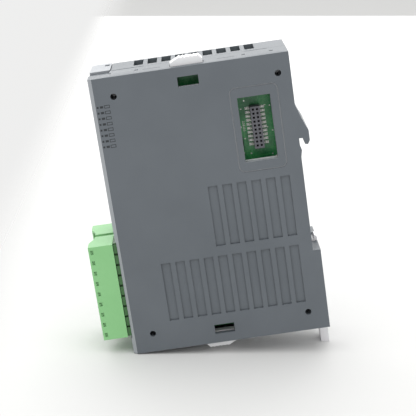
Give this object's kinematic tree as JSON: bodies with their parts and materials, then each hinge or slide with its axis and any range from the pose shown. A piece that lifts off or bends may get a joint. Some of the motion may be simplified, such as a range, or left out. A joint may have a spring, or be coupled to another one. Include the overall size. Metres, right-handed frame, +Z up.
{
  "type": "plc module",
  "caption": "Slim DIN-rail controller module: two-half case with side bus socket, two pull-off terminal plugs, joining levers and a rail latch.",
  "frame": {"origin": "centre of the rear seat that lies on the DIN rail's face, midway across the module", "axes": "+Y from the module to the rail, -Y towards the operator, +Z up, +X the side with the bus socket"},
  "size_m": [0.0322, 0.0732, 0.1018],
  "materials": {
    "case_grey": "fine spark-eroded texture, satin",
    "bezel_grey": "fine texture, satin",
    "lens_smoke": "clear, lightly frosted",
    "label_grey": "printed film",
    "screw_steel": "zinc plated",
    "board_green": "solder mask over fibreglass",
    "connector_black": "glass-filled moulding",
    "connector_grey": "glass-filled moulding",
    "contact_gold": "gold flash",
    "contact_tin": "matt tin plate",
    "header_green": "glass-filled moulding",
    "plug_green": "moulded, soft sheen",
    "lever_white": "acetal, soft sheen",
    "latch_white": "acetal, soft sheen",
    "led_green": "diffused package",
    "chip_black": "epoxy package",
    "can_aluminium": "drawn can",
    "ferrite": "sintered ferrite",
    "ceramic": "glazed ceramic",
    "print_dark": "pad-printed ink"
  },
  "bodies": {
    "root": {"right_case": "case_grey", "left_case": "case_grey", "front_bezel": "bezel_grey", "led_lens": "lens_smoke", "label_plate": "label_grey", "case_screws": "screw_steel", "main_board": "board_green", "io_board": "board_green", "terminal_board": "board_green", "terminal_board_links": "contact_tin", "board_link_socket": "connector_black", "board_link_pins": "contact_gold", "bus_socket": "connector_grey", "bus_socket_contacts": "contact_tin", "bus_plug_shroud": "connector_black", "bus_plug_pins": "contact_gold", "header_a": "header_green", "header_a_pins": "contact_tin", "header_b": "header_green", "header_b_pins": "contact_tin", "status_leds": "led_green", "logic_chips": "chip_black", "optocouplers": "chip_black", "output_drivers": "chip_black", "filter_capacitors": "can_aluminium", "power_inductor": "ferrite", "chip_passives": "ceramic", "side_marks": "print_dark"},
    "top_lever": {"top_lever": "lever_white"},
    "bottom_lever": {"bottom_lever": "lever_white"},
    "rail_latch": {"rail_latch": "latch_white"},
    "plug_a": {"plug_a_body": "plug_green", "plug_a_clamps": "contact_tin", "plug_a_screws": "screw_steel"},
    "plug_b": {"plug_b_body": "plug_green", "plug_b_clamps": "contact_tin", "plug_b_screws": "screw_steel"}
  },
  "joints": [
    {"name": "top_lever_press", "type": "slide", "parent": "root", "child": "top_lever", "axis": [0, 0, -1], "range_m": [0, 0.002]},
    {"name": "bottom_lever_press", "type": "slide", "parent": "root", "child": "bottom_lever", "axis": [0, 0, 1], "range_m": [0, 0.002]},
    {"name": "latch_push", "type": "slide", "parent": "root", "child": "rail_latch", "axis": [0, 0, 1], "range_m": [0, 0.003]},
    {"name": "plug_a_pull", "type": "slide", "parent": "root", "child": "plug_a", "axis": [0, -1, 0], "range_m": [0, 0.012]},
    {"name": "plug_b_pull", "type": "slide", "parent": "root", "child": "plug_b", "axis": [0, -1, 0], "range_m": [0, 0.012]}
  ]
}
